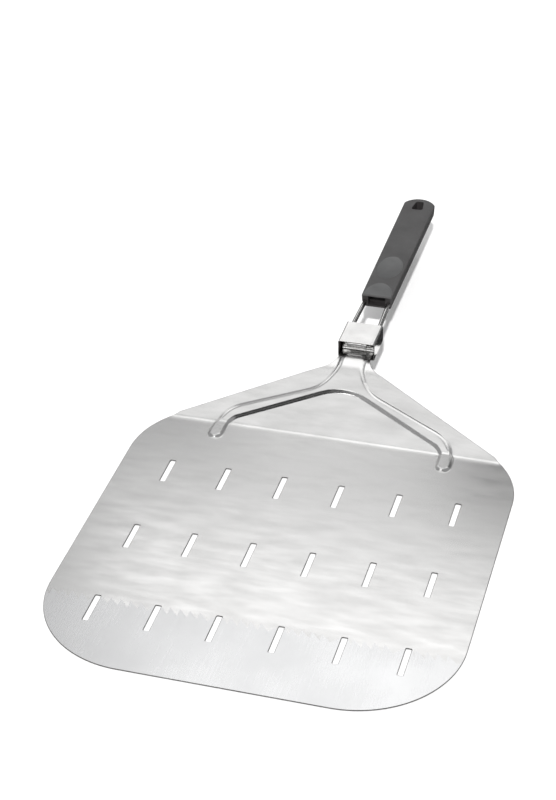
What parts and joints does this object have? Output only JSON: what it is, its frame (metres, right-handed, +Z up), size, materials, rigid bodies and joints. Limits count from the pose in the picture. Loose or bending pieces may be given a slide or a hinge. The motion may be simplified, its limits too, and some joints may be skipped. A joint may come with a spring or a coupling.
{
  "type": "pizza peel",
  "caption": "Folding pizza peel: slotted sheet blade with a ribbed tang, and a wire handle with a moulded grip that folds over it once its sliding lock sleeve is drawn back.",
  "frame": {"origin": "middle of the peel's bounding box in plan, on the underside of the blade", "axes": "+Y from the blade's front edge to the end of the handle, +X across the blade, +Z up from the blade's underside"},
  "size_m": [0.33, 0.6679, 0.0513],
  "materials": {
    "blade_steel": "satin stainless sheet with a fine long grain",
    "wire_steel": "polished stainless wire",
    "sleeve_steel": "polished stainless sheet",
    "guide_plastic": "moulded black nylon",
    "grip_plastic": "soft-touch matte dark grey plastic",
    "screw_steel": "zinc-plated screw steel"
  },
  "bodies": {
    "peel_blade": {"blade": "blade_steel"},
    "handle": {"wire_frame": "wire_steel", "grip_upper_shell": "grip_plastic", "grip_lower_shell": "grip_plastic", "grip_screws": "screw_steel"},
    "sleeve": {"locking_sleeve": "sleeve_steel", "sleeve_guide": "guide_plastic"}
  },
  "joints": [
    {"name": "handle_fold", "type": "hinge", "parent": "peel_blade", "child": "handle", "pos_m": [0, 0.075, 0.0425], "axis": [1, 0, 0], "range_deg": [0, 185]},
    {"name": "sleeve_slide", "type": "slide", "parent": "handle", "child": "sleeve", "axis": [0, 1, 0], "range_m": [0, 0.042]}
  ],
  "couplings": [
    {"joint": "sleeve_slide", "follows": "handle_fold", "m_per_rad": 0.013}
  ]
}
